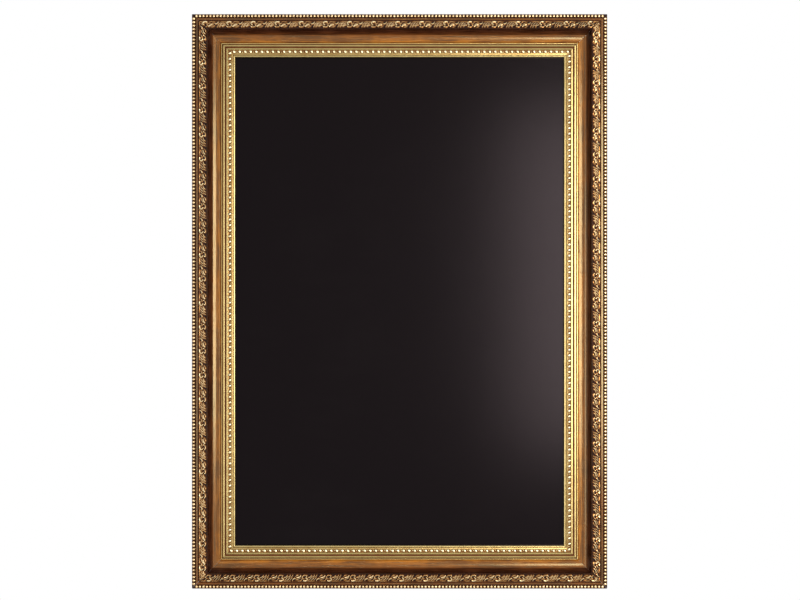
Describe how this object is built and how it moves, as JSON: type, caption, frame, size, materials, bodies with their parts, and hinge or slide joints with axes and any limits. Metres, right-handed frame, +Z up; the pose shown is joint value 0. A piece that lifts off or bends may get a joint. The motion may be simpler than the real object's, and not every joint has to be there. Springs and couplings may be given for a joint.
{
  "type": "framed wall chalkboard",
  "caption": "Upright rectangular chalkboard: matt black panel in a carved, gilded wooden moulding with a gilt inner slip, hung on the wall by D-rings at the back.",
  "frame": {"origin": "on the wall plane, midway between the two wall hooks, which is the board's middle across and 242 mm above its middle", "axes": "+X to the right as seen from the front, +Y into the wall, +Z up; the written face looks along -Y"},
  "size_m": [0.694, 0.04, 0.9601],
  "materials": {
    "carved_wood": "antique gold leaf over brown on the carving, dark stained wood in the cove",
    "gilt_wood": "yellow gold leaf, rubbed, dark in the grooves",
    "chalk_surface": "matt black board paint",
    "hardboard": "smooth brown hardboard",
    "zinc_plated_steel": "bright zinc plate",
    "brass_plate": "dull brass",
    "black_rubber": "matt"
  },
  "bodies": {
    "board": {"frame_rail_bottom": "carved_wood", "frame_rail_left": "carved_wood", "frame_rail_top": "carved_wood", "frame_rail_right": "carved_wood", "gilt_slip_bottom": "gilt_wood", "gilt_slip_left": "gilt_wood", "gilt_slip_top": "gilt_wood", "gilt_slip_right": "gilt_wood", "chalk_panel": "chalk_surface", "backing_board": "hardboard", "v_nail_top_left_outer": "zinc_plated_steel", "v_nail_top_left_inner": "zinc_plated_steel", "v_nail_top_right_outer": "zinc_plated_steel", "v_nail_top_right_inner": "zinc_plated_steel", "v_nail_bottom_left_outer": "zinc_plated_steel", "v_nail_bottom_left_inner": "zinc_plated_steel", "v_nail_bottom_right_outer": "zinc_plated_steel", "v_nail_bottom_right_inner": "zinc_plated_steel", "turn_button_screw_left_upper": "zinc_plated_steel", "turn_button_screw_left_middle": "zinc_plated_steel", "turn_button_screw_left_lower": "zinc_plated_steel", "turn_button_screw_right_upper": "zinc_plated_steel", "turn_button_screw_right_middle": "zinc_plated_steel", "turn_button_screw_right_lower": "zinc_plated_steel", "turn_button_screw_top_left": "zinc_plated_steel", "turn_button_screw_top_right": "zinc_plated_steel", "turn_button_screw_bottom_left": "zinc_plated_steel", "turn_button_screw_bottom_right": "zinc_plated_steel", "strap_hanger_left": "zinc_plated_steel", "strap_screw_left_upper": "zinc_plated_steel", "strap_screw_left_lower": "zinc_plated_steel", "strap_hanger_right": "zinc_plated_steel", "strap_screw_right_upper": "zinc_plated_steel", "strap_screw_right_lower": "zinc_plated_steel", "wall_bumper_top_left": "black_rubber", "wall_bumper_top_right": "black_rubber", "wall_bumper_bottom_left": "black_rubber", "wall_bumper_bottom_right": "black_rubber"},
    "turn_button_left_upper_turn": {"turn_button_left_upper": "brass_plate"},
    "turn_button_left_middle_turn": {"turn_button_left_middle": "brass_plate"},
    "turn_button_left_lower_turn": {"turn_button_left_lower": "brass_plate"},
    "turn_button_right_upper_turn": {"turn_button_right_upper": "brass_plate"},
    "turn_button_right_middle_turn": {"turn_button_right_middle": "brass_plate"},
    "turn_button_right_lower_turn": {"turn_button_right_lower": "brass_plate"},
    "turn_button_top_left_turn": {"turn_button_top_left": "brass_plate"},
    "turn_button_top_right_turn": {"turn_button_top_right": "brass_plate"},
    "turn_button_bottom_left_turn": {"turn_button_bottom_left": "brass_plate"},
    "turn_button_bottom_right_turn": {"turn_button_bottom_right": "brass_plate"},
    "d_ring_left_swing": {"d_ring_left": "zinc_plated_steel"},
    "d_ring_right_swing": {"d_ring_right": "zinc_plated_steel"}
  },
  "joints": [
    {"name": "turn_button_left_upper_pivot", "type": "hinge", "parent": "board", "child": "turn_button_left_upper_turn", "pos_m": [-0.309, -0.0051, 0.04765], "axis": [0, 1, 0], "continuous": true},
    {"name": "turn_button_left_middle_pivot", "type": "hinge", "parent": "board", "child": "turn_button_left_middle_turn", "pos_m": [-0.309, -0.0051, -0.24235], "axis": [0, 1, 0], "continuous": true},
    {"name": "turn_button_left_lower_pivot", "type": "hinge", "parent": "board", "child": "turn_button_left_lower_turn", "pos_m": [-0.309, -0.0051, -0.53235], "axis": [0, 1, 0], "continuous": true},
    {"name": "turn_button_right_upper_pivot", "type": "hinge", "parent": "board", "child": "turn_button_right_upper_turn", "pos_m": [0.309, -0.0051, 0.04765], "axis": [0, 1, 0], "continuous": true},
    {"name": "turn_button_right_middle_pivot", "type": "hinge", "parent": "board", "child": "turn_button_right_middle_turn", "pos_m": [0.309, -0.0051, -0.24235], "axis": [0, 1, 0], "continuous": true},
    {"name": "turn_button_right_lower_pivot", "type": "hinge", "parent": "board", "child": "turn_button_right_lower_turn", "pos_m": [0.309, -0.0051, -0.53235], "axis": [0, 1, 0], "continuous": true},
    {"name": "turn_button_top_left_pivot", "type": "hinge", "parent": "board", "child": "turn_button_top_left_turn", "pos_m": [-0.15, -0.0051, 0.19965], "axis": [0, 1, 0], "continuous": true},
    {"name": "turn_button_top_right_pivot", "type": "hinge", "parent": "board", "child": "turn_button_top_right_turn", "pos_m": [0.15, -0.0051, 0.19965], "axis": [0, 1, 0], "continuous": true},
    {"name": "turn_button_bottom_left_pivot", "type": "hinge", "parent": "board", "child": "turn_button_bottom_left_turn", "pos_m": [-0.15, -0.0051, -0.68435], "axis": [0, 1, 0], "continuous": true},
    {"name": "turn_button_bottom_right_pivot", "type": "hinge", "parent": "board", "child": "turn_button_bottom_right_turn", "pos_m": [0.15, -0.0051, -0.68435], "axis": [0, 1, 0], "continuous": true},
    {"name": "d_ring_left_hinge", "type": "hinge", "parent": "board", "child": "d_ring_left_swing", "pos_m": [-0.324, -0.0031, -0.01235], "axis": [1, 0, 0], "range_deg": [0, 180]},
    {"name": "d_ring_right_hinge", "type": "hinge", "parent": "board", "child": "d_ring_right_swing", "pos_m": [0.324, -0.0031, -0.01235], "axis": [1, 0, 0], "range_deg": [0, 180]}
  ]
}
